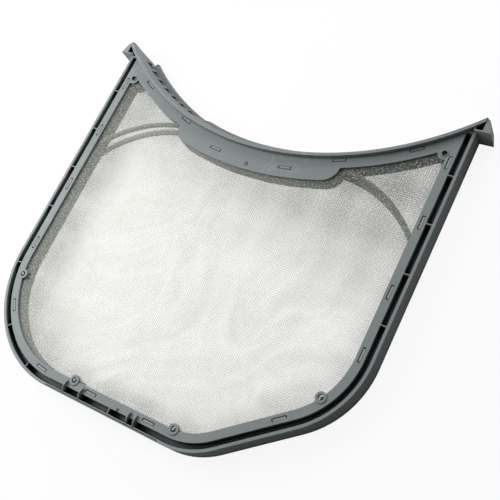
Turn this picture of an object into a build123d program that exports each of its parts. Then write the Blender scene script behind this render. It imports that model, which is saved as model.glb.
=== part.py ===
from build123d import *
import math
import os

os.makedirs("parts", exist_ok=True)

# Lint filter lying on its back. X is the width, Y runs from the bottom edge up to the
# curved handle flange, Z is the depth with the front face up. All lengths in millimetres.

# Body: a flat box with a ring, a channel and an outer wall round three sides
half_width = 205.0
body_depth = 20.0
outer_wall = 2.9
channel_width = 5.6
channel_depth = 10.0
channel_floor = 1.5
ring_width = 8.5
ring_wall = 1.5
plate = 2.0

# Bottom corners: a large round on the left, a rounded chamfer on the right
left_corner_radius = 115.0
chamfer_run = 121.0
chamfer_rise = 90.0
side_chamfer_radius = 95.0
bottom_chamfer_radius = 80.0

# Handle flange: a concave strip along the top that rises towards the back
arc_radius = 308.0
arc_low = 300.0
flange_thick = 3.3
flange_overhang = 7.3
flange_slope = 0.39
flange_tip_inset = 2.0
lip_reach = 5.0
panel_sink = 1.0

# Ends of the flange, which narrow from the back towards the ears
taper_length = 22.7
taper_tip = 3.0

# Finger pockets along both arms of the flange
pocket_count = 7
pocket_first_angle = 18.8
pocket_pitch_angle = 2.96
pocket_length = 11.0
pocket_deep = 2.4
pocket_front_gap = 11.4
pocket_width = 9.6

# Raised back edges of the flange
back_lip_inner_angle = 15.5
back_lip_outer_angle = 36.5
back_lip_inner_height = 0.5
back_lip_middle_height = 3.3
back_lip_outer_height = 5.8
back_lip_width = 4.0
centre_pad_angle = 14.5
centre_pad_height = 2.4
centre_pad_width = 8.0

# Ears at both ends of the flange
ear_height = 16.5
ear_tip_reach = 6.5
ear_round = 3.5
ear_sink = 2.4
ear_plate = 1.7
ear_web_thick = 1.5
ear_setback = 1.5
ear_back_wall = 3.0

# Panel below the flange and its deeper middle
shoulder_drop = 1.8
panel_band = 10.7
centre_half_width = 96.5
centre_drop = 13.0
centre_corner = 18.0

# Arch bars of the rear frame: a slim pair under the front screen, a wide pair in the back plate
arch_centre_x = 88.0
arch_centre_drop = 126.4
arch_radius = 130.0
arch_width = 3.0
arch_depth = 4.5
rear_arch_width = 5.5

# Corner holes with their collars
corner_hole_inset = 19.4
corner_hole_drop = 3.9
corner_hole_diameter = 5.2
corner_boss_radius = 6.5
collar_width = 0.9
collar_height = 0.6

# Cross ribs in the channel
rib_thick = 1.0
side_rib_heights = (321.0, 271.0, 221.0, 171.0)
corner_rib_angles = (187.0, 225.0, 253.0)
bottom_rib_x = -10.4

# Raised guide fins across the bottom channel
fin_places = (-67.5, -47.0, 13.0, 21.0)
fin_thick = 1.1
fin_height = 3.0
fin_reach = 14.5
fin_start = 1.6
fin_crown = 5.9

# Split rim along the bottom edge
split_left_x = -89.0
split_right_x = 50.0
split_width = 0.7
split_inset = 1.1
split_depth = 4.0

# Snap windows of the front ring and the tabs that stand in them
window_length = 14.0
window_width = 3.0
side_window_heights = (332.8, 270.5, 200.8)
left_low_window_y = 127.4
right_low_window_y = 140.7
corner_window_angles = (213.7, 262.5)
bottom_window_places = (-37.2, 33.8)
chamfer_window_share = 0.594
panel_window_angles = (30.6, 17.1)
panel_window_drop = 2.2
centre_window_angle = 7.4
centre_window_drop = 13.4
tab_length = 12.0
tab_thick = 1.9
tab_offset = 0.25
tab_recess = 0.2

# Stake bosses on the ring and the pins in them
stake_bottom_x = 60.7
stake_left_angle = 194.0
stake_right_angle = -34.0
stake_boss_radius = 5.2
stake_boss_height = 0.8
stake_hole_diameter = 5.4
pin_diameter = 2.8
pin_shoulder_diameter = 4.4
pin_proud = 0.4

# Small stake in the middle of the panel
centre_stake_drop = 21.0
centre_hole_diameter = 4.0
centre_pin_diameter = 2.0

# Gate mark on the ring beside the bottom channel: a nub in a shallow round recess
gate_x = -1.4
gate_y = 9.9
gate_diameter = 3.4
gate_depth = 1.4
gate_nub_diameter = 1.5

# Rear frame: back plate and chamber wall
rear_clearance = 0.4
rear_plate = 3.0
screen_recess = 1.0
chamber_wall = 1.6

# Screens: two thin woven sheets with weft ridges in front and warp ridges behind
screen_thick = 0.5
screen_grip = 3.0
screen_play = 0.2
ridge_pitch = 34.0
ridge_width = 4.0
ridge_height = 0.25
ridge_play = 0.4

# Places worked out from the sizes above
lip_z = body_depth + lip_reach
arc_centre_y = arc_low + arc_radius
under_radius = arc_radius + flange_thick
panel_radius = under_radius + panel_band
channel_inset = outer_wall + channel_width
ring_inset = channel_inset + ring_width
window_inset = channel_inset + ring_width / 2
front_screen_z = body_depth - plate - screen_thick
chamfer_length = math.hypot(chamfer_run, chamfer_rise)
chamfer_turn = math.atan2(chamfer_rise, chamfer_run)
side_arc_y = chamfer_rise + side_chamfer_radius * math.tan(math.pi / 4 - chamfer_turn / 2)


def arc_y(radius, x):
    """Height of the concave arc of a radius about the flange's centre."""
    return arc_centre_y - math.sqrt(radius**2 - x**2)


flange_half_span = half_width + flange_overhang
flange_end_y = arc_y(arc_radius, flange_half_span)
ear_web_y = flange_end_y - ear_height
shoulder_y = ear_web_y - shoulder_drop
corner_hole_x = half_width - corner_hole_inset
corner_hole_y = arc_y(panel_radius, corner_hole_x) - corner_hole_drop


def arc_disc(radius):
    """Disc about the centre of the concave arc."""
    return Pos(0, arc_centre_y) * Circle(radius)


def rail_face(inset, top):
    """Area within the body's outline, moved inwards by an inset and closed at a height."""
    half = half_width - inset
    side_y = chamfer_rise + inset * (chamfer_length - chamfer_rise) / chamfer_run
    bottom_x = half_width - chamfer_run - inset * (chamfer_length - chamfer_run) / chamfer_rise
    radii = [
        left_corner_radius - inset,
        bottom_chamfer_radius - inset,
        side_chamfer_radius - inset,
    ]
    corners = [(-half, top), (-half, inset), (bottom_x, inset), (half, side_y), (half, top)]
    rails = FilletPolyline(*corners, radius=radii)
    return make_face(rails + Line(corners[-1], corners[0]))


def band(outer_inset, inner_inset, top):
    """Strip between two insets of the body's outline."""
    return rail_face(outer_inset, top) - rail_face(inner_inset, top + plate)


def layer(face, low, high):
    """Flat piece of a face between two heights."""
    return extrude(Pos(0, 0, low) * face, amount=high - low)


def on_slope(face, front, back):
    """Piece that follows the flange's slope between two heights."""
    length = front - back
    start = Pos(0, flange_slope * (lip_z - front), front) * face
    return Solid.extrude(start.face(), (0, flange_slope * length, -length))


def both_sides(piece):
    """A piece and its mirror image across the middle of the filter."""
    return [piece, mirror(piece, about=Plane.YZ)]


def outward(x, y, angle):
    """Place whose own Y axis points outwards along an angle."""
    return Pos(x, y) * Rot(0, 0, angle - 90)


def on_left_corner(angle, inset):
    """Place on the left corner's arc at an inset from the outline."""
    radius = left_corner_radius - inset
    turn = math.radians(angle)
    x = left_corner_radius - half_width + radius * math.cos(turn)
    return outward(x, left_corner_radius + radius * math.sin(turn), angle)


def on_side_arc(angle, inset):
    """Place on the arc between the right side and the chamfer."""
    radius = side_chamfer_radius - inset
    turn = math.radians(angle)
    x = half_width - side_chamfer_radius + radius * math.cos(turn)
    return outward(x, side_arc_y + radius * math.sin(turn), angle)


def on_chamfer(share, inset):
    """Place on the chamfer, as a share of its length from the bottom."""
    x = half_width - chamfer_run * (1 - share) - inset * chamfer_rise / chamfer_length
    y = chamfer_rise * share + inset * chamfer_run / chamfer_length
    return outward(x, y, math.degrees(math.atan2(-chamfer_run, chamfer_rise)))


def on_side(side, y, inset):
    """Place on the left (-1) or right (1) side of the body."""
    return outward(side * (half_width - inset), y, 90 - 90 * side)


def on_bottom(x, inset):
    """Place on the bottom edge of the body."""
    return outward(x, inset, 270)


def on_arc(angle, radius):
    """Place on a concave arc, with its own Y axis towards the arc's centre."""
    turn = math.radians(angle)
    x = radius * math.sin(turn)
    return outward(x, arc_centre_y - radius * math.cos(turn), 90 + angle)


def window_places():
    """Places of the snap windows, in the ring, the panel and its middle."""
    places = [on_side(side, y, window_inset) for side in (-1, 1) for y in side_window_heights]
    places += [on_side(-1, left_low_window_y, window_inset)]
    places += [on_side(1, right_low_window_y, window_inset)]
    places += [on_left_corner(angle, window_inset) for angle in corner_window_angles]
    places += [on_bottom(x, window_inset) for x in bottom_window_places]
    places += [on_chamfer(chamfer_window_share, window_inset)]
    for side in (-1, 1):
        for angle in panel_window_angles:
            places += [on_arc(side * angle, under_radius + panel_window_drop)]
        places += [on_arc(side * centre_window_angle, under_radius + centre_window_drop)]
    return places


def ring_stakes():
    """Places of the stake bosses on the inner edge of the ring."""
    return [
        on_bottom(-stake_bottom_x, ring_inset),
        on_bottom(stake_bottom_x, ring_inset),
        on_left_corner(stake_left_angle, ring_inset),
        on_side_arc(stake_right_angle, ring_inset),
    ]


def centre_stake():
    """Place of the small stake in the middle of the panel."""
    return Pos(0, arc_low - centre_stake_drop)


def corner_places():
    """Places of the two corner holes."""
    return [Pos(side * corner_hole_x, corner_hole_y) for side in (-1, 1)]


def centre_face(shrink):
    """Deeper middle of the panel, made smaller all round by an amount."""
    width = 2 * (centre_half_width - shrink)
    disc = arc_disc(panel_radius + centre_drop - shrink)
    strip = Pos(0, arc_low) * Rectangle(width, 2 * (panel_band + centre_drop) + flange_thick * 4)
    face = disc & strip
    low_corners = face.vertices().sort_by(Axis.Y)[:2]
    return fillet(low_corners, centre_corner - shrink)


def chamber_face(grow):
    """Area of the lint chamber in plan, made larger all round by an amount."""
    face = rail_face(ring_inset - grow, shoulder_y) - arc_disc(panel_radius - grow)
    face -= centre_face(grow)
    for place in corner_places():
        face -= place * Circle(corner_boss_radius - grow)
    return face


def arch_face(width):
    """Two arch bars of a width, from the middle of the panel to the ring."""
    bar = Circle(arch_radius) - Circle(arch_radius - width)
    reach = arch_radius + width
    quarter = Pos(reach / 2, reach / 2) * Rectangle(reach, reach)
    right = Pos(arch_centre_x, arc_low - arch_centre_drop) * (bar & quarter)
    right = right & rail_face(ring_inset - chamber_wall, shoulder_y)
    return right + mirror(right, about=Plane.YZ)


def ring_plate():
    """Ring and panel as one plate with its windows, bosses and holes."""
    face = rail_face(channel_inset, shoulder_y) - arc_disc(arc_radius - panel_sink)
    face -= chamber_face(0)
    for place in ring_stakes():
        face += place * Circle(stake_boss_radius)
    for place in window_places():
        face -= place * Rectangle(window_length, window_width)
    solid = layer(face, body_depth - plate, body_depth)
    for place in ring_stakes():
        boss = place * Circle(stake_boss_radius)
        solid += layer(boss, body_depth - plate, body_depth + stake_boss_height)
    for place in corner_places():
        rim = place * Circle(corner_hole_diameter / 2 + collar_width)
        solid += layer(rim, body_depth - plate, body_depth + collar_height)
    holes = [place * Circle(stake_hole_diameter / 2) for place in ring_stakes()]
    holes += [place * Circle(corner_hole_diameter / 2) for place in corner_places()]
    holes += [centre_stake() * Circle(centre_hole_diameter / 2)]
    for hole in holes:
        solid -= layer(hole, body_depth - 2 * plate, body_depth + plate)
    return solid


def gate_mark():
    """Round recess of the gate mark, without the nub in it."""
    recess = Circle(gate_diameter / 2) - Circle(gate_nub_diameter / 2)
    return layer(Pos(gate_x, gate_y) * recess, body_depth - gate_depth, body_depth + plate)


def channel():
    """Outer wall, channel and ring wall round the sides and the bottom."""
    floor_z = body_depth - channel_depth
    inner_inset = channel_inset + ring_wall
    solid = layer(band(0, outer_wall, ear_web_y), 0, body_depth)
    solid += layer(band(0, inner_inset, shoulder_y), floor_z - channel_floor, floor_z)
    solid += layer(band(channel_inset, inner_inset, shoulder_y), floor_z - channel_floor, body_depth)
    shoulder = band(0, inner_inset, ear_web_y)
    shoulder &= Pos(0, (ear_web_y + shoulder_y) / 2) * Rectangle(2 * half_width, ear_web_y - shoulder_y)
    solid += layer(shoulder, floor_z - channel_floor, body_depth)
    return solid - on_slope(arc_disc(arc_radius + flange_thick / 2), lip_z, 0)


def rib_places():
    """Places of the thin cross ribs at the middle of the channel."""
    inset = outer_wall + channel_width / 2
    places = [on_side(side, y, inset) for side in (-1, 1) for y in side_rib_heights]
    places += [on_left_corner(angle, inset) for angle in corner_rib_angles]
    places += [on_bottom(bottom_rib_x, inset)]
    return places


def ribs():
    """Cross ribs from the ring to the outer wall."""
    span = channel_width + ring_wall
    floor_z = body_depth - channel_depth
    return [
        layer(place * Rectangle(rib_thick, span), floor_z - channel_floor, body_depth)
        for place in rib_places()
    ]


def fins():
    """Guide fins that bulge over the bottom channel onto the ring."""
    floor_z = body_depth - channel_depth
    inside = channel_inset + ring_wall / 2
    seat = body_depth - plate / 2
    crown = (fin_crown, body_depth + fin_height)
    top = ThreePointArc((fin_start, body_depth - plate), crown, (fin_reach, body_depth))
    back = Polyline(
        (fin_reach, body_depth), (fin_reach, seat), (inside, seat), (inside, floor_z),
        (fin_start, floor_z), (fin_start, body_depth - plate),
    )
    profile = make_face(top + back)
    upright = Plane(origin=(0, 0, 0), x_dir=(0, 1, 0), z_dir=(1, 0, 0)) * profile
    return [Pos(x, 0, 0) * extrude(upright, amount=fin_thick / 2, both=True) for x in fin_places]


def rim_split():
    """Narrow slit along the bottom rim, open to the outside at both ends."""
    low = body_depth - split_depth
    length = split_right_x - split_left_x
    middle = (split_left_x + split_right_x) / 2
    slit = Pos(middle, split_inset + split_width / 2) * Rectangle(length, split_width)
    cuts = layer(slit, low, body_depth + plate)
    for x in (split_left_x, split_right_x):
        notch = Pos(x, split_inset / 2) * Rectangle(split_width, split_inset + split_width)
        cuts += layer(notch, low, body_depth + plate)
    return cuts


def flange_strip(inner_radius, outer_radius, half_span):
    """Part of a ring about the arc's centre, as wide as a span."""
    strip = arc_disc(outer_radius) - arc_disc(inner_radius)
    reach = outer_radius + flange_thick
    return strip & (Pos(0, arc_centre_y - reach / 2) * Rectangle(2 * half_span, reach))


def pocket(angle):
    """Wedge-shaped finger pocket in the flange's top face, deeper towards the back."""
    front = lip_z - pocket_front_gap
    turn = math.radians(angle)
    mouth = on_arc(angle, arc_radius) * Pos(0, flange_thick / 2) * Rectangle(pocket_length, flange_thick)
    start = Pos(0, flange_slope * pocket_front_gap, front) * mouth
    drop = (
        pocket_deep * math.sin(turn),
        flange_slope * pocket_width - pocket_deep * math.cos(turn),
        -pocket_width,
    )
    return Solid.extrude(start.face(), drop)


def end_taper():
    """Wedge that is cut off the back of the flange's right end."""
    inner_x = flange_half_span - taper_length
    wedge = Polygon(
        (inner_x, -plate),
        (flange_half_span, -plate),
        (flange_half_span, lip_z - taper_tip),
        (inner_x, 0),
        align=None,
    )
    return extrude(Plane.XZ * wedge, amount=-arc_centre_y)


def back_lip_face():
    """Outline of a raised back edge, taller towards the ear."""
    middle_angle = (back_lip_inner_angle + back_lip_outer_angle) / 2
    sunk = arc_radius + flange_thick / 2

    def point(angle, radius):
        return on_arc(angle, radius).position

    crest = ThreePointArc(
        point(back_lip_inner_angle, arc_radius - back_lip_inner_height),
        point(middle_angle, arc_radius - back_lip_middle_height),
        point(back_lip_outer_angle, arc_radius - back_lip_outer_height),
    )
    root = ThreePointArc(
        point(back_lip_inner_angle, sunk), point(middle_angle, sunk), point(back_lip_outer_angle, sunk)
    )
    ends = Line(crest @ 0, root @ 0) + Line(crest @ 1, root @ 1)
    return make_face(crest + root + ends)


def flange():
    """Handle flange with its front lip, finger pockets, raised back edges and narrow ends."""
    half_span = flange_half_span - flange_tip_inset
    solid = on_slope(flange_strip(arc_radius, under_radius, half_span), lip_z, 0)
    lip = flange_strip(arc_radius + flange_thick / 3, under_radius, half_span - ear_plate)
    solid += layer(lip, body_depth, lip_z)
    pad_span = arc_radius * math.sin(math.radians(centre_pad_angle))
    pad = flange_strip(arc_radius - centre_pad_height, arc_radius + flange_thick / 2, pad_span)
    solid += on_slope(pad, centre_pad_width, 0)
    for lip_piece in both_sides(on_slope(back_lip_face(), back_lip_width, 0)):
        solid += lip_piece
    for step in range(pocket_count):
        for cut in both_sides(pocket(pocket_first_angle + step * pocket_pitch_angle)):
            solid -= cut
    for cut in both_sides(end_taper()):
        solid -= cut
    return solid


def ear_face():
    """Section of the right ear, between its web and its rounded tip."""
    inner_x = half_width - ear_sink
    rise = flange_slope * ear_setback
    corners = [
        (inner_x, ear_web_y),
        (flange_half_span + ear_tip_reach, ear_web_y),
        (flange_half_span, flange_end_y + rise),
        (inner_x, arc_y(arc_radius + flange_thick / 2, inner_x) + rise),
    ]
    face = Polygon(*corners, align=None)
    tip = face.vertices().sort_by(Axis.Y)[-1]
    return fillet(tip, ear_round)


def ear_hollow():
    """Section of the hollow between the ear's end plate and the body."""
    floor = ear_web_y + ear_web_thick
    inner_x = half_width - ear_sink / 2
    side = flange_half_span - ear_plate
    rise = flange_slope * ear_setback
    return Polygon(
        (inner_x, floor),
        (side, floor),
        (side, arc_y(under_radius, side) + rise),
        (inner_x, arc_y(under_radius, inner_x) + rise),
        align=None,
    )


def ear():
    """Right ear: an end plate and a web round a hollow that is open to the front."""
    front = lip_z - ear_setback
    return layer(ear_face(), 0, front) - layer(ear_hollow(), ear_back_wall, front)


def front_frame():
    """Front moulding: ring, panel, channel, outer wall, flange and ears."""
    solid = channel() + ring_plate()
    solid += flange()
    for piece in both_sides(ear()):
        solid += piece
    solid += ribs()
    solid += fins()
    return solid - rim_split() - gate_mark()


def rear_window():
    """Open areas of the rear frame."""
    return chamber_face(0) - arch_face(rear_arch_width)


def tabs():
    """Snap tabs that stand in the windows of the front ring."""
    tab = Pos(0, tab_offset) * Rectangle(tab_length, tab_thick)
    low = rear_plate - screen_recess
    return [layer(place * tab, low, body_depth - tab_recess) for place in window_places()]


def pin(diameter, top):
    """Stake pin on a six-sided post that ends below the front ring."""
    shoulder = body_depth - 2 * plate
    post = RegularPolygon(pin_shoulder_diameter / 2, 6)
    base = layer(post, rear_plate - screen_recess, shoulder)
    return base + layer(Circle(diameter / 2), shoulder, top)


def pins():
    """Stake pins of the ring and the small one of the panel."""
    ring_pin = pin(pin_diameter, body_depth + stake_boss_height + pin_proud)
    centre_pin = pin(centre_pin_diameter, body_depth)
    placed = [Pos(place.position) * ring_pin for place in ring_stakes()]
    return placed + [centre_stake() * centre_pin]


def rear_frame():
    """Rear moulding: back plate, chamber wall, arch bars, tabs and pins."""
    flange_shift = flange_slope * (lip_z - rear_plate)
    outline = rail_face(outer_wall + rear_clearance, shoulder_y)
    outline -= Pos(0, flange_shift) * arc_disc(under_radius + rear_clearance)
    solid = layer(outline - rear_window(), screen_recess, rear_plate)
    solid += layer(outline - chamber_face(screen_grip + screen_play), 0, rear_plate)
    wall = chamber_face(chamber_wall) - chamber_face(0)
    solid += layer(wall, screen_recess, front_screen_z)
    solid += layer(arch_face(arch_width), front_screen_z - arch_depth, front_screen_z)
    solid += tabs()
    solid += pins()
    return solid


def comb(length, width, turn):
    """Parallel ridges over a width, along X or turned to run along Y."""
    places = GridLocations(0, ridge_pitch, 1, round(width / ridge_pitch))
    return Rot(0, 0, turn) * (Sketch() + places * Rectangle(length, ridge_width))


def screen(area, open_area, low):
    """Woven sheet with weft ridges on its front face and warp ridges on its back face."""
    top = low + screen_thick
    box = area.bounding_box()
    middle = Pos(0, box.center().Y)
    weft = middle * comb(box.size.X, box.size.Y, 0)
    warp = middle * comb(box.size.Y, box.size.X, 90)
    field = offset(open_area, -ridge_play)
    solid = layer(area, low, top)
    solid += layer(weft & field, top, top + ridge_height)
    solid += layer(warp & field, low - ridge_height, low)
    return solid


def front_screen():
    """Front screen, gripped between the ring and the chamber wall."""
    area = chamber_face(screen_grip)
    open_area = chamber_face(0) - arch_face(arch_width)
    for place in ring_stakes():
        area -= place * Circle(stake_hole_diameter / 2)
        open_area -= place * Circle(stake_boss_radius)
    return screen(area, open_area, front_screen_z)


def rear_screen():
    """Rear screen, seated in the recess of the rear frame."""
    return screen(chamber_face(screen_grip), rear_window(), screen_recess - screen_thick)


pieces = {
    "front_frame": front_frame(),
    "rear_frame": rear_frame(),
    "front_screen": front_screen(),
    "rear_screen": rear_screen(),
}
middle_y = pieces["front_frame"].bounding_box().center().Y
for name, piece in pieces.items():
    export_step(Pos(0, -middle_y, 0) * piece, f"parts/{name}.step")
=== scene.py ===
"""Dresses the lint filter: grey moulded frames and two woven screens, on a white sweep."""

from __future__ import annotations

import logging
import math
from dataclasses import dataclass, field, replace
from enum import Enum

import bpy
import numpy as np
from mathutils import Matrix, Vector


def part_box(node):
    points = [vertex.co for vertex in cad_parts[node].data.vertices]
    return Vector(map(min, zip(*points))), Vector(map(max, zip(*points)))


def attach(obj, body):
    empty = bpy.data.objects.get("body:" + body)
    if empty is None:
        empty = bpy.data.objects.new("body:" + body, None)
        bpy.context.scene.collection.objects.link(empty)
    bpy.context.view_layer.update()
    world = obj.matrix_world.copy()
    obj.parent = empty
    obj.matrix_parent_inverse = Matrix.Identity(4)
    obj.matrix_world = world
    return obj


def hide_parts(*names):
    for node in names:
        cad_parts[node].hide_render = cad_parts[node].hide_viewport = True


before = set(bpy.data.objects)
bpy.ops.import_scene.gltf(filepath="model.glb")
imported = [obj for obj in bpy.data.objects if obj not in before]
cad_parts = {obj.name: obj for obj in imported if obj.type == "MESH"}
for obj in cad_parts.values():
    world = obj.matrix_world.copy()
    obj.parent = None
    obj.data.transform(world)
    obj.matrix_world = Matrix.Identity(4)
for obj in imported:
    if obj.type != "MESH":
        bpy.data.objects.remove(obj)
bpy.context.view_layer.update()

BODY = "root"
MILLIMETRE = 0.001

logging.basicConfig(level=logging.INFO, format="%(message)s")
log = logging.getLogger("lint_filter")

Colour = tuple[float, float, float, float]
Direction = tuple[float, float, float]

WHITE: Colour = (1.0, 1.0, 1.0, 1.0)


class Side(Enum):
    """The two screens, named for the face of the filter that they close."""

    FRONT = "front_screen"
    REAR = "rear_screen"


class Run(Enum):
    """The two directions of the threads in a screen."""

    WEFT = 0
    WARP = 1


@dataclass(frozen=True)
class Noise:
    """The character of a noise texture, apart from its scale."""

    detail: float = 2.0
    roughness: float = 0.5
    distortion: float = 0.0


@dataclass(frozen=True)
class Fade:
    """The value at which a mask starts and the one at which it is full."""

    start: float
    full: float


@dataclass(frozen=True)
class RimShadeEdge:
    """A straight edge of the screens along which shade is painted onto the threads.

    Attributes:
        inward: the way from the edge into the screen.
        offset: the distance of the frame's origin from the edge.
        width: how far the painted shade reaches in.
        share: how dense it is at the edge.
    """

    inward: Direction
    offset: float
    width: float
    share: float


# The moulded grain of the plastic, and the tiny round that its edges catch light on.
GRAIN_NOISE = Noise(detail=3.0)
CLOUD_NOISE = Noise(detail=4.0, roughness=0.6)
BEVEL_SAMPLES = 6

# Painted shade in narrow corners and on upright walls: how open a corner is, and how level a face is, where
# it starts and where it is full.
NOOK_SAMPLES = 8
NOOK_FADE = Fade(0.66, 0.2)
UPRIGHT_FADE = Fade(0.7, 0.2)

# Rub marks: lines along which a noise passes its middle value, kept to patches.
SCUFF_NOISE = Noise(detail=3.0, distortion=2.5)
SCUFF_MIDDLE = 0.5
PATCH_NOISE = Noise()
PATCH_FADE = Fade(0.5, 0.66)

# Painted shade on the screens, as a grey film: its swirls, the way in which it thickens, its light flecks
# and its rim.
SWIRL_NOISE = Noise(distortion=1.5)
SWIRL_SCALE = 7.0
SHADE_LEAN: Direction = (0.22, 1.0, 0.0)
FLECK_NOISE = Noise(detail=1.0)
FLECK_FADE = Fade(0.53, 0.63)
RIM_SHADE_EDGES = (
    RimShadeEdge((0.0, 1.0, 0.0), 0.1755, 0.03, 0.75),
    RimShadeEdge((-1.0, 0.0, 0.0), 0.188, 0.03, 0.5),
    RimShadeEdge((-0.597, 0.802, 0.0), 0.1875, 0.03, 0.55),
    RimShadeEdge((1.0, 0.0, 0.0), 0.188, 0.065, 0.85),
    RimShadeEdge((0.707, 0.707, 0.0), 0.2164, 0.075, 0.85),
)
RIM_WAVER = 0.04

# The screens: the height of each weave's middle.
FRONT_WEAVE_HEIGHT = 17.75 * MILLIMETRE
REAR_WEAVE_HEIGHT = 0.75 * MILLIMETRE


def activate(piece: bpy.types.Object) -> None:
    """Makes one object the only selected and the active one.

    Args:
        piece: the object to work on.
    """
    bpy.ops.object.select_all(action="DESELECT")
    piece.select_set(True)
    bpy.context.view_layer.objects.active = piece


def select_vertices(piece: bpy.types.Object, chosen: np.ndarray) -> None:
    """Selects some of a mesh's vertices and opens it in edit mode.

    Args:
        piece: the mesh object, in object mode.
        chosen: one truth value for each vertex.
    """
    activate(piece)
    bpy.ops.object.mode_set(mode="EDIT")
    bpy.ops.mesh.select_mode(type="VERT")
    bpy.ops.mesh.select_all(action="DESELECT")
    bpy.ops.object.mode_set(mode="OBJECT")
    piece.data.vertices.foreach_set("select", chosen)
    bpy.ops.object.mode_set(mode="EDIT")


def points_of(piece: bpy.types.Object) -> np.ndarray:
    """Reads a mesh's vertices.

    Args:
        piece: the mesh object.

    Returns:
        An array of one row of x, y and z for each vertex.
    """
    flat = np.empty(3 * len(piece.data.vertices))
    piece.data.vertices.foreach_get("co", flat)
    return flat.reshape(-1, 3)


class NodeSheet:
    """A node tree, with short calls that add nodes and feed their inputs.

    Wherever a call takes a value for an input, that is either another node's output or a plain value.
    """

    def __init__(self, tree: bpy.types.NodeTree) -> None:
        """Starts from an empty tree."""
        self.tree = tree
        tree.nodes.clear()

    def add(self, kind: str, **settings: object) -> bpy.types.Node:
        """Adds a node.

        Args:
            kind: the name of the node's class.
            settings: the node's own properties.

        Returns:
            The new node.
        """
        node = self.tree.nodes.new(kind)
        for name, value in settings.items():
            setattr(node, name, value)
        return node

    def feed(self, socket: bpy.types.NodeSocket, value: object) -> None:
        """Joins an output to an input, or sets the input's own value.

        Args:
            socket: the input.
            value: the output or the plain value.
        """
        if isinstance(value, bpy.types.NodeSocket):
            self.tree.links.new(value, socket)
        else:
            socket.default_value = value

    def group(self, tree: bpy.types.NodeTree, values: dict[str, float]) -> bpy.types.Node:
        """Places a node group.

        Args:
            tree: the group.
            values: the inputs that differ from the group's first values.

        Returns:
            The group's node.
        """
        node = self.add("ShaderNodeGroup", node_tree=tree)
        for label, value in values.items():
            self.feed(node.inputs[label], value)
        return node

    def math(self, operation: str, *values: object, clamp: bool = False) -> bpy.types.NodeSocket:
        """Adds a sum.

        Args:
            operation: what the sum does.
            values: its inputs, in order.
            clamp: whether the result is kept between 0 and 1.

        Returns:
            The result.
        """
        node = self.add("ShaderNodeMath", operation=operation, use_clamp=clamp)
        for socket, value in zip(node.inputs, values):
            self.feed(socket, value)
        return node.outputs["Value"]

    def along(self, place: bpy.types.NodeSocket, way: Direction | Vector) -> bpy.types.NodeSocket:
        """Measures how far a point lies along a direction.

        Args:
            place: the point's coordinates.
            way: the direction.

        Returns:
            The distance from the origin.
        """
        node = self.add("ShaderNodeVectorMath", operation="DOT_PRODUCT")
        self.feed(node.inputs[0], place)
        self.feed(node.inputs[1], way)
        return node.outputs["Value"]

    def noise(self, look: Noise, place: bpy.types.NodeSocket, scale: object) -> bpy.types.NodeSocket:
        """Adds a noise texture.

        Args:
            look: the character of the noise.
            place: the coordinates that it reads.
            scale: how many of its features there are in a metre.

        Returns:
            The noise's value.
        """
        node = self.add("ShaderNodeTexNoise")
        self.feed(node.inputs["Vector"], place)
        self.feed(node.inputs["Scale"], scale)
        self.feed(node.inputs["Detail"], look.detail)
        self.feed(node.inputs["Roughness"], look.roughness)
        self.feed(node.inputs["Distortion"], look.distortion)
        return node.outputs["Fac"]

    def ramp(
        self,
        value: bpy.types.NodeSocket,
        start: object = 0.0,
        end: object = 1.0,
        low: object = 0.0,
        high: object = 1.0,
        smooth: bool = False,
    ) -> bpy.types.NodeSocket:
        """Carries a value from one range to another, and holds it at the ends.

        Args:
            value: the value.
            start: the value at which the result is low.
            end: the value at which it is high.
            low: the result at the start.
            high: the result at the end.
            smooth: whether the result eases in and out.

        Returns:
            The result.
        """
        node = self.add("ShaderNodeMapRange", interpolation_type="SMOOTHSTEP" if smooth else "LINEAR")
        self.feed(node.inputs["Value"], value)
        self.feed(node.inputs["From Min"], start)
        self.feed(node.inputs["From Max"], end)
        self.feed(node.inputs["To Min"], low)
        self.feed(node.inputs["To Max"], high)
        return node.outputs["Result"]

    def fade(self, value: bpy.types.NodeSocket, ends: Fade, most: object = 1.0) -> bpy.types.NodeSocket:
        """Turns a value into a soft mask.

        Args:
            value: the value.
            ends: where the mask starts and where it is full.
            most: how dense the full mask is.

        Returns:
            The mask.
        """
        return self.ramp(value, ends.start, ends.full, high=most, smooth=True)

    def blend(self, share: bpy.types.NodeSocket, first: object, second: object) -> bpy.types.NodeSocket:
        """Blends two colours.

        Args:
            share: how much there is of the second colour.
            first: the first colour.
            second: the second colour.

        Returns:
            The blended colour.
        """
        node = self.add("ShaderNodeMix", data_type="RGBA")
        self.feed(node.inputs["Factor"], share)
        self.feed(node.inputs["A"], first)
        self.feed(node.inputs["B"], second)
        return node.outputs["Result"]


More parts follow.
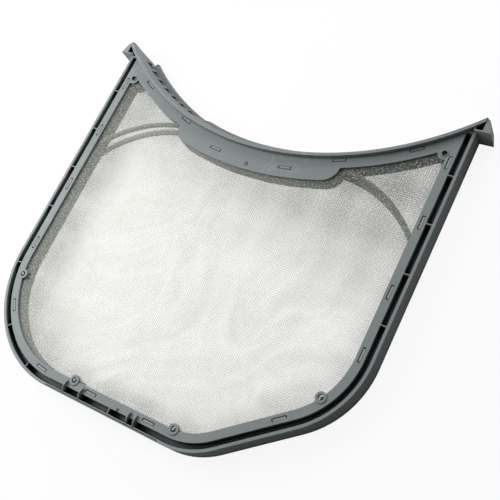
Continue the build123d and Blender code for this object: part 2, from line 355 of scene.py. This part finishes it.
class SurfaceGroups:
    """The shader node groups that the finishes share."""

    def __init__(self) -> None:
        """Builds each group once."""
        self.grain = self._grain()
        self.recess_shade = self._recess_shade()
        self.shade_film = self._shade_film()
        self.scuff = self._scuff()

    @staticmethod
    def _start(
        name: str, inputs: dict[str, float], outputs: tuple[str, ...]
    ) -> tuple[NodeSheet, bpy.types.Node, bpy.types.Node]:
        """Makes an empty group with named sockets.

        Args:
            name: the group's name.
            inputs: each input's name and first value.
            outputs: each output's name.

        Returns:
            The group's sheet, the node of its inputs and the node of its outputs.
        """
        tree = bpy.data.node_groups.new(name, "ShaderNodeTree")
        sheet = NodeSheet(tree)
        for label, value in inputs.items():
            socket = tree.interface.new_socket(label, in_out="INPUT", socket_type="NodeSocketFloat")
            socket.default_value = value
        for label in outputs:
            tree.interface.new_socket(label, in_out="OUTPUT", socket_type="NodeSocketFloat")
        return sheet, sheet.add("NodeGroupInput"), sheet.add("NodeGroupOutput")

    def _grain(self) -> bpy.types.NodeTree:
        """Builds the moulded grain: a fine speckle, broad clouds and a height.

        Returns:
            The node group.
        """
        sheet, given, result = self._start(
            "moulded_grain", {"Grain Scale": 1400.0, "Cloud Scale": 9.0}, ("Speckle", "Cloud", "Height")
        )
        place = sheet.add("ShaderNodeTexCoord").outputs["Object"]
        fine = sheet.noise(GRAIN_NOISE, place, given.outputs["Grain Scale"])
        broad = sheet.noise(CLOUD_NOISE, place, given.outputs["Cloud Scale"])
        sheet.feed(result.inputs["Speckle"], fine)
        sheet.feed(result.inputs["Cloud"], broad)
        sheet.feed(result.inputs["Height"], fine)
        return sheet.tree

    def _recess_shade(self) -> bpy.types.NodeTree:
        """Builds the mask of painted shade that darkens narrow corners and upright walls.

        Returns:
            The node group.
        """
        sheet, given, result = self._start("painted_recess_shade", {"Reach": 0.008, "Wall Shade Share": 0.0}, ("Mask",))
        nook = sheet.add("ShaderNodeAmbientOcclusion", samples=NOOK_SAMPLES)
        sheet.feed(nook.inputs["Distance"], given.outputs["Reach"])
        corner = sheet.fade(nook.outputs["AO"], NOOK_FADE)
        parts = sheet.add("ShaderNodeSeparateXYZ")
        sheet.feed(parts.inputs["Vector"], sheet.add("ShaderNodeTexCoord").outputs["Normal"])
        level = sheet.math("ABSOLUTE", parts.outputs["Z"])
        upright = sheet.fade(level, UPRIGHT_FADE, most=given.outputs["Wall Shade Share"])
        sheet.feed(result.inputs["Mask"], sheet.math("MAXIMUM", corner, upright))
        return sheet.tree

    def _shade_film(self) -> bpy.types.NodeTree:
        """Builds the painted shade on a screen, as a grey film: it thickens towards the handle and along the
        rim, with light flecks.

        Returns:
            The node group.
        """
        sheet, given, result = self._start(
            "painted_shade_film",
            {"Start": 0.0, "Full": 0.16, "Swirl Depth": 0.045, "Bands": 34.0, "Fleck Scale": 560.0},
            ("Mask", "Moire", "Fleck"),
        )
        place = sheet.add("ShaderNodeTexCoord").outputs["Object"]
        swirl = sheet.noise(SWIRL_NOISE, place, SWIRL_SCALE)
        lean = sheet.along(place, SHADE_LEAN)
        bent = sheet.math("MULTIPLY_ADD", swirl, given.outputs["Swirl Depth"], lean)
        rise = sheet.ramp(bent, given.outputs["Start"], given.outputs["Full"], smooth=True)
        mask = sheet.math("MAXIMUM", rise, self._rim_shade_mask(sheet, place, swirl))
        sheet.feed(result.inputs["Mask"], mask)
        band = sheet.math("SINE", sheet.math("MULTIPLY", swirl, given.outputs["Bands"]))
        sheet.feed(result.inputs["Moire"], sheet.ramp(band, start=-1.0))
        dots = sheet.noise(FLECK_NOISE, place, given.outputs["Fleck Scale"])
        sheet.feed(result.inputs["Fleck"], sheet.math("MULTIPLY", sheet.fade(dots, FLECK_FADE), mask))
        return sheet.tree

    def _scuff(self) -> bpy.types.NodeTree:
        """Builds pale rub marks: thin bent lines that gather in patches.

        Returns:
            The node group.
        """
        sheet, given, result = self._start(
            "scuff_marks", {"Line Scale": 26.0, "Line Width": 0.016, "Patch Scale": 11.0}, ("Mask",)
        )
        place = sheet.add("ShaderNodeTexCoord").outputs["Object"]
        line = sheet.noise(SCUFF_NOISE, place, given.outputs["Line Scale"])
        away = sheet.math("ABSOLUTE", sheet.math("SUBTRACT", line, SCUFF_MIDDLE))
        thin = sheet.ramp(away, end=given.outputs["Line Width"], low=1.0, high=0.0)
        patch = sheet.noise(PATCH_NOISE, place, given.outputs["Patch Scale"])
        sheet.feed(result.inputs["Mask"], sheet.math("MULTIPLY", thin, sheet.fade(patch, PATCH_FADE)))
        return sheet.tree

    @staticmethod
    def _rim_shade_mask(
        sheet: NodeSheet, place: bpy.types.NodeSocket, waver: bpy.types.NodeSocket
    ) -> bpy.types.NodeSocket:
        """Adds nodes that mask the painted shade along the edges of the screens.

        Args:
            sheet: the group's sheet.
            place: the point's coordinates.
            waver: the noise that bends the painted shade's inner border.

        Returns:
            The mask.
        """
        masks = []
        for edge in RIM_SHADE_EDGES:
            bent = sheet.math("MULTIPLY_ADD", waver, RIM_WAVER, sheet.along(place, edge.inward))
            border = RIM_WAVER / 2.0 - edge.offset
            masks.append(sheet.fade(bent, Fade(border + edge.width, border), most=edge.share))
        most = masks[0]
        for mask in masks[1:]:
            most = sheet.math("MAXIMUM", most, mask)
        return most


def start_surface(name: str) -> tuple[bpy.types.Material, NodeSheet, bpy.types.Node]:
    """Starts a material with a plain shader.

    Args:
        name: the material's name.

    Returns:
        The material, its sheet and its shader.
    """
    made = bpy.data.materials.new(name)
    made.use_nodes = True
    sheet = NodeSheet(made.node_tree)
    result = sheet.add("ShaderNodeOutputMaterial")
    skin = sheet.add("ShaderNodeBsdfPrincipled")
    sheet.feed(result.inputs["Surface"], skin.outputs["BSDF"])
    return made, sheet, skin


@dataclass(frozen=True)
class PlasticFinish:
    """Satin grey plastic with a fine moulded grain, rub marks, and painted shade that darkens its corners
    and walls.
    """

    name: str
    light: Colour
    dark: Colour
    painted_shade: Colour
    scuff: Colour
    scuff_share: float
    specular: float
    roughness_low: float
    roughness_high: float
    grain_scale: float
    cloud_scale: float
    bump: float
    edge_radius: float
    shade_reach: float
    wall_shade_share: float

    def material(self, groups: SurfaceGroups) -> bpy.types.Material:
        """Builds the material.

        Args:
            groups: the shared node groups.

        Returns:
            The finished material.
        """
        made, sheet, skin = start_surface(self.name)
        skin.inputs["Specular IOR Level"].default_value = self.specular
        grain = sheet.group(groups.grain, {"Grain Scale": self.grain_scale, "Cloud Scale": self.cloud_scale})
        tone = sheet.blend(grain.outputs["Cloud"], self.dark, self.light)
        rub = sheet.group(groups.scuff, {})
        faint = sheet.math("MULTIPLY", rub.outputs["Mask"], self.scuff_share)
        rubbed = sheet.blend(faint, tone, self.scuff)
        # Painted shade: corners that little light reaches, and upright walls where set, are darkened towards
        # a near-black colour.
        nook = sheet.group(groups.recess_shade, {"Reach": self.shade_reach, "Wall Shade Share": self.wall_shade_share})
        shaded_tone = sheet.blend(nook.outputs["Mask"], rubbed, self.painted_shade)
        sheet.feed(skin.inputs["Base Color"], shaded_tone)
        shine = sheet.ramp(grain.outputs["Speckle"], low=self.roughness_low, high=self.roughness_high)
        sheet.feed(skin.inputs["Roughness"], shine)
        rounded = sheet.add("ShaderNodeBevel", samples=BEVEL_SAMPLES)
        rounded.inputs["Radius"].default_value = self.edge_radius
        bump = sheet.add("ShaderNodeBump")
        bump.inputs["Strength"].default_value = self.bump
        bump.inputs["Distance"].default_value = MILLIMETRE
        sheet.feed(bump.inputs["Height"], grain.outputs["Height"])
        sheet.feed(bump.inputs["Normal"], rounded.outputs["Normal"])
        sheet.feed(skin.inputs["Normal"], bump.outputs["Normal"])
        return made


@dataclass(frozen=True)
class ThreadFinish:
    """Off-white nylon thread, partly clear, with painted shade as a flecked grey film near the handle and
    the rim.
    """

    name: str
    light: Colour
    dark: Colour
    shade_film: Colour
    cover: float
    moire_cover: float
    shade_cover: float
    fleck_cover: float
    shade_start: float
    shade_full: float
    roughness: float
    cloud_scale: float

    def material(self, groups: SurfaceGroups) -> bpy.types.Material:
        """Builds the material.

        Args:
            groups: the shared node groups.

        Returns:
            The finished material.
        """
        made, sheet, skin = start_surface(self.name)
        skin.inputs["Roughness"].default_value = self.roughness
        grain = sheet.group(groups.grain, {"Cloud Scale": self.cloud_scale})
        tone = sheet.blend(grain.outputs["Cloud"], self.dark, self.light)
        # Painted shade: towards the handle and along the rim the threads turn grey and less clear, with
        # light flecks left in it.
        shade_film = sheet.group(groups.shade_film, {"Start": self.shade_start, "Full": self.shade_full})
        shade_share = sheet.math("SUBTRACT", shade_film.outputs["Mask"], shade_film.outputs["Fleck"], clamp=True)
        sheet.feed(skin.inputs["Base Color"], sheet.blend(shade_share, tone, self.shade_film))
        clean = sheet.ramp(shade_film.outputs["Moire"], low=self.cover, high=self.moire_cover)
        shade_alpha = sheet.ramp(shade_film.outputs["Mask"], low=clean, high=self.shade_cover)
        flecked = sheet.ramp(shade_film.outputs["Fleck"], low=shade_alpha, high=self.fleck_cover)
        sheet.feed(skin.inputs["Alpha"], flecked)
        return made


@dataclass(frozen=True)
class Gauge:
    """The width and height of a thread's cross-section."""

    width: float
    height: float


@dataclass
class WovenScreen:
    """A woven screen with a finer filler between its threads.

    The ground is a plain weave of straight weft and of warp that passes over and under it. The filler is
    thin straight thread halfway between: weft that lies on the ground, and warp that lies under it.

    Attributes:
        side: the screen that the weave stands for.
        name: the weave's name.
        middle: the height of the weave's middle.
        pitch: the distance between the ground's threads.
        ground: the ground's thread.
        filler: the filler's thread.
        filler_lift: how far the filler lies above or below the middle.
        swing: how far the warp goes up and down.
        margin: how far outside the box the search for the outline starts.
        corners: the corners of a thread's cross-section.
        flat_angle: the bend under which a thread counts as straight.
        same_line: the decimals to which points of one line agree.
        low: the lowest corner of the screen's box.
        high: the highest corner of the screen's box.
        weft_count: how many weft threads there are.
        warp_count: how many warp threads there are.
    """

    side: Side
    name: str
    middle: float
    pitch: float = 2.2 * MILLIMETRE
    ground: Gauge = Gauge(0.44 * MILLIMETRE, 0.12 * MILLIMETRE)
    filler: Gauge = Gauge(0.25 * MILLIMETRE, 0.04 * MILLIMETRE)
    filler_lift: float = 0.1 * MILLIMETRE
    swing: float = 0.12 * MILLIMETRE
    margin: float = 2.0 * MILLIMETRE
    corners: int = 4
    flat_angle: float = math.radians(1.0)
    same_line: int = 6
    low: Vector = field(init=False)
    high: Vector = field(init=False)
    weft_count: int = field(init=False)
    warp_count: int = field(init=False)

    def __post_init__(self) -> None:
        """Counts the threads that cover the screen's box."""
        self.low, self.high = (Vector(corner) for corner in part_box(self.side.value))
        self.warp_count = 2 * math.ceil((self.high.x - self.low.x) / (2 * self.pitch))
        self.weft_count = 2 * math.ceil((self.high.y - self.low.y) / (2 * self.pitch))

    def _thread(self, run: Run, gauge: Gauge) -> bpy.types.Object:
        """Draws the first thread of a set, straight, with one ring at each crossing.

        Args:
            run: the thread's direction.
            gauge: the thread's cross-section.

        Returns:
            The thread, at the low corner of the screen's box.
        """
        if run is Run.WEFT:
            steps = self.warp_count
            step = (self.pitch, 0.0, 0.0)
            turn = (0.0, math.pi / 2, 0.0)
            section = (gauge.height, gauge.width)
        else:
            steps = self.weft_count
            step = (0.0, self.pitch, 0.0)
            turn = (math.pi / 2, 0.0, 0.0)
            section = (gauge.width, gauge.height)
        bpy.ops.object.select_all(action="DESELECT")
        # A circle of this radius and four corners is a square with sides of 1, turned by an eighth.
        bpy.ops.mesh.primitive_circle_add(
            vertices=self.corners,
            radius=math.sqrt(0.5),
            fill_type="NGON",
            location=(self.low.x, self.low.y, self.middle),
        )
        thread = bpy.context.active_object
        activate(thread)
        eighth = Matrix.Rotation(math.pi / 4, 4, "Z")
        thread.data.transform(Matrix.Diagonal((*section, 1.0, 1.0)) @ eighth)
        thread.rotation_euler = turn
        bpy.ops.object.transform_apply(location=True, rotation=True, scale=True)
        bpy.ops.object.mode_set(mode="EDIT")
        bpy.ops.mesh.select_all(action="SELECT")
        bpy.ops.mesh.extrude_repeat(steps=steps, offset=step)
        bpy.ops.object.mode_set(mode="OBJECT")
        return thread

    def _swing(self, thread: bpy.types.Object, phase: int) -> None:
        """Moves a warp thread's rings over and under the weft by turns.

        Args:
            thread: the straight warp thread.
            phase: 0 for a thread that starts high, 1 for one that starts low.
        """
        ring = np.rint((points_of(thread)[:, 1] - self.low.y) / self.pitch).astype(int)
        for way, height in ((0, self.swing), (1, -self.swing)):
            select_vertices(thread, (ring + phase) % 2 == way)
            bpy.ops.transform.translate(value=(0.0, 0.0, height))
            bpy.ops.object.mode_set(mode="OBJECT")

    def _repeat(self, thread: bpy.types.Object, run: Run, pitch: float, count: int) -> None:
        """Lays copies of a thread side by side.

        Args:
            thread: the first thread.
            run: the thread's direction.
            pitch: the distance between copies.
            count: how many threads there are in all.
        """
        activate(thread)
        copies = thread.modifiers.new("set", "ARRAY")
        copies.use_relative_offset = False
        copies.use_constant_offset = True
        copies.constant_offset_displace = (0.0, pitch, 0.0) if run is Run.WEFT else (pitch, 0.0, 0.0)
        copies.count = count
        bpy.ops.object.modifier_apply(modifier=copies.name)

    def _reach(self, along: int, lines: np.ndarray) -> tuple[np.ndarray, np.ndarray]:
        """Finds where lines across the plain sheet enter and leave its outline.

        Args:
            along: 0 for lines along X, 1 for lines along Y.
            lines: each line's place on the other axis.

        Returns:
            The low end and the high end of each line.
        """
        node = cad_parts[self.side.value]
        ends = []
        for edge, way in ((self.low[along] - self.margin, 1.0), (self.high[along] + self.margin, -1.0)):
            ray = Vector((0.0, 0.0, 0.0))
            ray[along] = way
            hits = []
            for line in lines:
                start = Vector((line, line, self.middle))
                start[along] = edge
                found, place, _, _ = node.ray_cast(start, ray)
                hits.append(place[along] if found else way * math.inf)
            ends.append(np.array(hits))
        return ends[0], ends[1]

    def _trim(self, threads: bpy.types.Object) -> None:
        """Cuts the threads off at the screen's outline and closes their ends.

        Args:
            threads: one set of threads.
        """
        points = points_of(threads)
        inside = np.ones(len(points), dtype=bool)
        for along, across in ((0, 1), (1, 0)):
            lines, line_of = np.unique(points[:, across].round(self.same_line), return_inverse=True)
            low, high = self._reach(along, lines)
            inside &= (points[:, along] >= low[line_of]) & (points[:, along] <= high[line_of])
        select_vertices(threads, ~inside)
        bpy.ops.mesh.delete(type="VERT")
        bpy.ops.mesh.select_all(action="SELECT")
        bpy.ops.mesh.fill_holes(sides=self.corners)
        bpy.ops.object.mode_set(mode="OBJECT")

    def _straighten(self, threads: bpy.types.Object) -> None:
        """Takes the spare rings out of straight threads.

        Args:
            threads: one set of straight threads.
        """
        activate(threads)
        bpy.ops.object.mode_set(mode="EDIT")
        bpy.ops.mesh.select_all(action="SELECT")
        bpy.ops.mesh.dissolve_limited(angle_limit=self.flat_angle)
        bpy.ops.object.mode_set(mode="OBJECT")

    def _straight_set(self, run: Run, gauge: Gauge, shift: Vector) -> bpy.types.Object:
        """Lays a whole set of straight threads.

        Args:
            run: the threads' direction.
            gauge: their cross-section.
            shift: how far the set lies from the low corner of the screen's middle.

        Returns:
            The set, cut to the screen's outline.
        """
        threads = self._thread(run, gauge)
        threads.data.transform(Matrix.Translation(shift))
        count = self.weft_count if run is Run.WEFT else self.warp_count
        self._repeat(threads, run, self.pitch, count)
        self._trim(threads)
        self._straighten(threads)
        return threads

    def build(self) -> bpy.types.Object:
        """Weaves the screen.

        Returns:
            The screen as one mesh.
        """
        half = self.pitch / 2.0
        weft = self._straight_set(Run.WEFT, self.ground, Vector((0.0, 0.0, 0.0)))
        over = self._straight_set(Run.WEFT, self.filler, Vector((0.0, half, self.filler_lift)))
        under = self._straight_set(Run.WARP, self.filler, Vector((half, 0.0, -self.filler_lift)))
        sets = [weft, over, under]
        for phase in (0, 1):
            warp = self._thread(Run.WARP, self.ground)
            self._swing(warp, phase)
            warp.data.transform(Matrix.Translation((phase * self.pitch, 0.0, 0.0)))
            self._repeat(warp, Run.WARP, 2 * self.pitch, self.warp_count // 2)
            self._trim(warp)
            sets.append(warp)
        bpy.ops.object.select_all(action="DESELECT")
        for threads in sets:
            threads.select_set(True)
        bpy.context.view_layer.objects.active = weft
        bpy.ops.object.join()
        bpy.ops.object.mode_set(mode="EDIT")
        bpy.ops.mesh.select_all(action="SELECT")
        bpy.ops.mesh.normals_make_consistent(inside=False)
        bpy.ops.object.mode_set(mode="OBJECT")
        weft.name = self.name
        return weft

    def fit(self, material: bpy.types.Material) -> bpy.types.Object:
        """Builds the screen, dresses it and puts it in place of its plain sheet.

        Args:
            material: the thread's finish.

        Returns:
            The finished screen.
        """
        screen = self.build()
        screen.data.materials.clear()
        screen.data.materials.append(material)
        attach(screen, BODY)
        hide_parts(self.side.value)
        log.info("%s: %d faces", screen.name, len(screen.data.polygons))
        return screen


@dataclass
class Mouldings:
    """The two grey frames, which keep their own shapes and get a finish each."""

    finishes: dict[str, PlasticFinish]

    def dress(self, groups: SurfaceGroups) -> None:
        """Gives each frame its finish.

        Args:
            groups: the shared node groups.
        """
        for node_name, finish in self.finishes.items():
            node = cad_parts[node_name]
            node.data.materials.clear()
            node.data.materials.append(finish.material(groups))
            log.info("%s: %s", node_name, finish.name)


@dataclass
class Studio:
    """White sweep, soft light and a camera at the viewing angle.

    Attributes:
        eye: where the camera stands.
        gaze: the way it looks.
        upright: the way that is up in its picture.
        lens: its focal length in millimetres.
        sensor: the width of its sensor in millimetres.
        sight: how far it sees.
        floor_size: the length of the floor's side.
        floor_grey: the floor's colour in the light that it throws back.
        floor_glow: how far the floor shows as plain white to the camera, where the rest is lit and shaded.
        sky_edge: the cosine of the angle from the bright side at which only the dim light is left.
    """

    eye: Vector
    gaze: Vector
    upright: Vector
    lens: float
    sensor: float = 36.0
    sight: float = 50.0
    floor_size: float = 8.0
    floor_grey: Colour = (0.5, 0.5, 0.5, 1.0)
    floor_glow: float = 0.9
    sky_edge: float = -0.25

    def camera(self) -> None:
        """Places the camera."""
        data = bpy.data.cameras.new("camera")
        data.lens = self.lens
        data.sensor_width = self.sensor
        data.clip_end = self.sight
        holder = bpy.data.objects.new("camera", data)
        bpy.context.scene.collection.objects.link(holder)
        back = -self.gaze.normalized()
        right = self.upright.cross(back).normalized()
        true_up = back.cross(right)
        turn = Matrix((right, true_up, back)).transposed().to_4x4()
        holder.matrix_world = Matrix.Translation(self.eye) @ turn
        bpy.context.scene.camera = holder

    def floor(self) -> None:
        """Lays the floor, which looks white and keeps a soft shadow."""
        bpy.ops.object.select_all(action="DESELECT")
        bpy.ops.mesh.primitive_plane_add(size=self.floor_size, location=(0.0, 0.0, 0.0))
        floor = bpy.context.active_object
        floor.name = "floor"
        made = bpy.data.materials.new("white_floor")
        made.use_nodes = True
        sheet = NodeSheet(made.node_tree)
        seen = sheet.add("ShaderNodeLightPath").outputs["Is Camera Ray"]
        matte = sheet.add("ShaderNodeBsdfDiffuse")
        sheet.feed(matte.inputs["Color"], sheet.blend(seen, self.floor_grey, WHITE))
        glow = sheet.add("ShaderNodeEmission")
        glow.inputs["Color"].default_value = WHITE
        both = sheet.add("ShaderNodeMixShader")
        sheet.feed(both.inputs["Fac"], sheet.math("MULTIPLY", seen, self.floor_glow))
        sheet.feed(both.inputs[1], matte.outputs["BSDF"])
        sheet.feed(both.inputs[2], glow.outputs["Emission"])
        result = sheet.add("ShaderNodeOutputMaterial")
        sheet.feed(result.inputs["Surface"], both.outputs["Shader"])
        floor.data.materials.append(made)

    def world(self, bright: float, dim: float, toward: Vector) -> None:
        """Lights the scene softly, most from one side, and shows white behind it.

        Args:
            bright: the strength of the light from the bright side.
            dim: the strength of the light from the other side.
            toward: the direction of the bright side.
        """
        world = bpy.data.worlds.new("studio")
        bpy.context.scene.world = world
        world.use_nodes = True
        sheet = NodeSheet(world.node_tree)
        place = sheet.add("ShaderNodeTexCoord").outputs["Generated"]
        facing = sheet.along(place, toward.normalized())
        soft = sheet.add("ShaderNodeBackground")
        soft.inputs["Color"].default_value = WHITE
        level = sheet.ramp(facing, start=self.sky_edge, low=dim, high=bright, smooth=True)
        sheet.feed(soft.inputs["Strength"], level)
        white = sheet.add("ShaderNodeBackground")
        white.inputs["Color"].default_value = WHITE
        both = sheet.add("ShaderNodeMixShader")
        sheet.feed(both.inputs["Fac"], sheet.add("ShaderNodeLightPath").outputs["Is Camera Ray"])
        sheet.feed(both.inputs[1], soft.outputs["Background"])
        sheet.feed(both.inputs[2], white.outputs["Background"])
        result = sheet.add("ShaderNodeOutputWorld")
        sheet.feed(result.inputs["Surface"], both.outputs["Shader"])

    def lamp(self, name: str, place: Vector, size: float, power: float) -> None:
        """Hangs a square lamp that faces the filter.

        Args:
            name: the lamp's name.
            place: where it hangs.
            size: the length of its side.
            power: its power in watts.
        """
        data = bpy.data.lights.new(name, "AREA")
        data.size = size
        data.energy = power
        holder = bpy.data.objects.new(name, data)
        bpy.context.scene.collection.objects.link(holder)
        turn = (-place).to_track_quat("-Z", "Y").to_matrix().to_4x4()
        holder.matrix_world = Matrix.Translation(place) @ turn


FRONT_PLASTIC = PlasticFinish(
    name="front_plastic",
    light=(0.258, 0.288, 0.288, 1.0),
    dark=(0.208, 0.234, 0.236, 1.0),
    # the near-black colour of the painted shade in corners and on walls
    painted_shade=(0.012, 0.014, 0.016, 1.0),
    scuff=(0.5, 0.52, 0.52, 1.0),
    scuff_share=0.4,
    specular=0.35,
    roughness_low=0.5,
    roughness_high=0.66,
    grain_scale=1400.0,
    cloud_scale=14.0,
    bump=0.06,
    edge_radius=0.4 * MILLIMETRE,
    shade_reach=10.0 * MILLIMETRE,
    wall_shade_share=0.0,
)
REAR_PLASTIC = replace(
    FRONT_PLASTIC,
    name="rear_plastic",
    light=(0.33, 0.36, 0.352, 1.0),
    dark=(0.27, 0.298, 0.292, 1.0),
    # painted shade on the rear frame's upright walls
    wall_shade_share=0.15,
)
NYLON = ThreadFinish(
    name="nylon_thread",
    light=(0.9, 0.91, 0.83, 1.0),
    dark=(0.8, 0.81, 0.73, 1.0),
    # the grey of the painted shade on the threads
    shade_film=(0.23, 0.25, 0.22, 1.0),
    cover=0.14,
    moire_cover=0.29,
    shade_cover=0.48,
    fleck_cover=0.48,
    shade_start=0.012,
    shade_full=0.175,
    roughness=0.45,
    cloud_scale=18.0,
)


def main() -> None:
    """Builds the studio, the frames' finishes and the screens."""
    bpy.context.scene.view_settings.view_transform = "Standard"
    groups = SurfaceGroups()
    studio = Studio(
        eye=Vector((0.43595, -0.17935, 0.6856)),
        gaze=Vector((-0.4895, 0.2311, -0.8409)),
        upright=Vector((-0.2828, 0.8701, 0.4037)),
        lens=60.33,
    )
    studio.camera()
    studio.floor()
    studio.world(bright=0.52, dim=0.06, toward=Vector((-0.6, 0.4, 0.7)))
    studio.lamp("key", place=Vector((-0.6, -0.03, 0.45)), size=0.5, power=4.9)
    studio.lamp("fill", place=Vector((0.2, 1.3, 0.45)), size=0.6, power=10.0)
    Mouldings({"front_frame": FRONT_PLASTIC, "rear_frame": REAR_PLASTIC}).dress(groups)
    nylon = NYLON.material(groups)
    for side, name, middle in (
        (Side.FRONT, "front_weave", FRONT_WEAVE_HEIGHT),
        (Side.REAR, "rear_weave", REAR_WEAVE_HEIGHT),
    ):
        WovenScreen(side, name, middle).fit(nylon)


if __name__ == "__main__":
    main()
